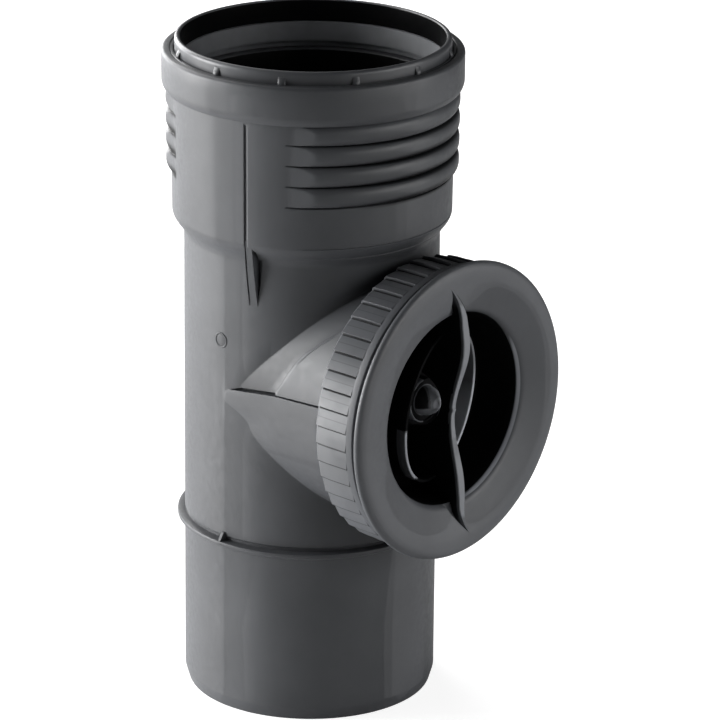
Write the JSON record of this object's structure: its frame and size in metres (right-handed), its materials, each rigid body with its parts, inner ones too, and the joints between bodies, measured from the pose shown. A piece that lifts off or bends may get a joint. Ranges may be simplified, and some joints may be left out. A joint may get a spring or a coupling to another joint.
{
  "type": "cleanout access pipe",
  "caption": "Straight push-fit drain pipe with a spigot, a sealed socket and a side branch closed by a round screw cap with a grip bar.",
  "frame": {"origin": "centre of the spigot's free end, on the pipe's axis", "axes": "+Z along the pipe's axis from the spigot to the socket, +X along the branch towards the cap"},
  "size_m": [0.1247, 0.1064, 0.2397],
  "materials": {
    "body_plastic": "satin",
    "ring_plastic": "semi-gloss",
    "cap_plastic": "satin",
    "seal_rubber": "matte"
  },
  "bodies": {
    "pipe": {"pipe_body": "body_plastic", "socket_seal": "seal_rubber", "retaining_ring": "ring_plastic"},
    "seal_carrier": {"cap_seal": "seal_rubber"},
    "cap": {"screw_cap": "cap_plastic"}
  },
  "joints": [
    {"name": "cap_advance", "type": "slide", "parent": "pipe", "child": "seal_carrier", "axis": [1, 0, 0], "range_m": [0, 0.015]},
    {"name": "cap_turn", "type": "hinge", "parent": "seal_carrier", "child": "cap", "pos_m": [0.0706, 0, 0.1185], "axis": [1, 0, 0], "range_deg": [0, 900]}
  ],
  "couplings": [
    {"joint": "cap_advance", "follows": "cap_turn", "m_per_rad": 0.00095493}
  ]
}
